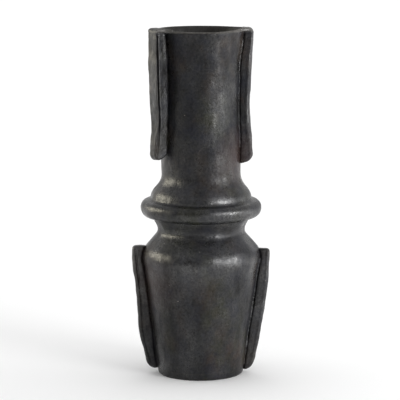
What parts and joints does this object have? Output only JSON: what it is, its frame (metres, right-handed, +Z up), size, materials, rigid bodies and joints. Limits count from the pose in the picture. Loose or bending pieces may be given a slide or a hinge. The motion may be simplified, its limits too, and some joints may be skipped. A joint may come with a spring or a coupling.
{
  "type": "vase",
  "caption": "Tall hand-built black clay vase: tapered pot, projecting collar, bell, cylindrical neck with a thin lip, and upright slab fins on the neck and lower pot.",
  "frame": {"origin": "centre of the foot, on the surface the vase stands on", "axes": "+Z up along the pot's axis, -Y towards the front of the vase, +X to its right as seen from the front"},
  "size_m": [0.1403, 0.1222, 0.35],
  "materials": {
    "burnished_clay": "smoke-fired black clay, burnished to a soft graphite sheen",
    "fin_clay": "smoke-fired black clay, burnished slabs with rubbed edges",
    "luting_clay": "smoke-fired black clay, smeared and less burnished",
    "raw_clay": "smoke-fired black clay, matte and unburnished"
  },
  "bodies": {
    "root": {"base_disc": "burnished_clay", "lower_wall": "burnished_clay", "base_seam_coil": "raw_clay", "shoulder_coil": "burnished_clay", "waist_coil": "burnished_clay", "waist_flare": "burnished_clay", "collar_ring": "burnished_clay", "bell_skirt": "burnished_clay", "neck_tube": "burnished_clay", "rim_coil": "burnished_clay", "upper_left_fin": "fin_clay", "upper_right_fin": "fin_clay", "lower_left_fin": "fin_clay", "lower_right_fin": "fin_clay", "upper_left_luting": "luting_clay", "upper_right_luting": "luting_clay", "lower_left_luting": "luting_clay", "lower_right_luting": "luting_clay"}
  },
  "joints": []
}
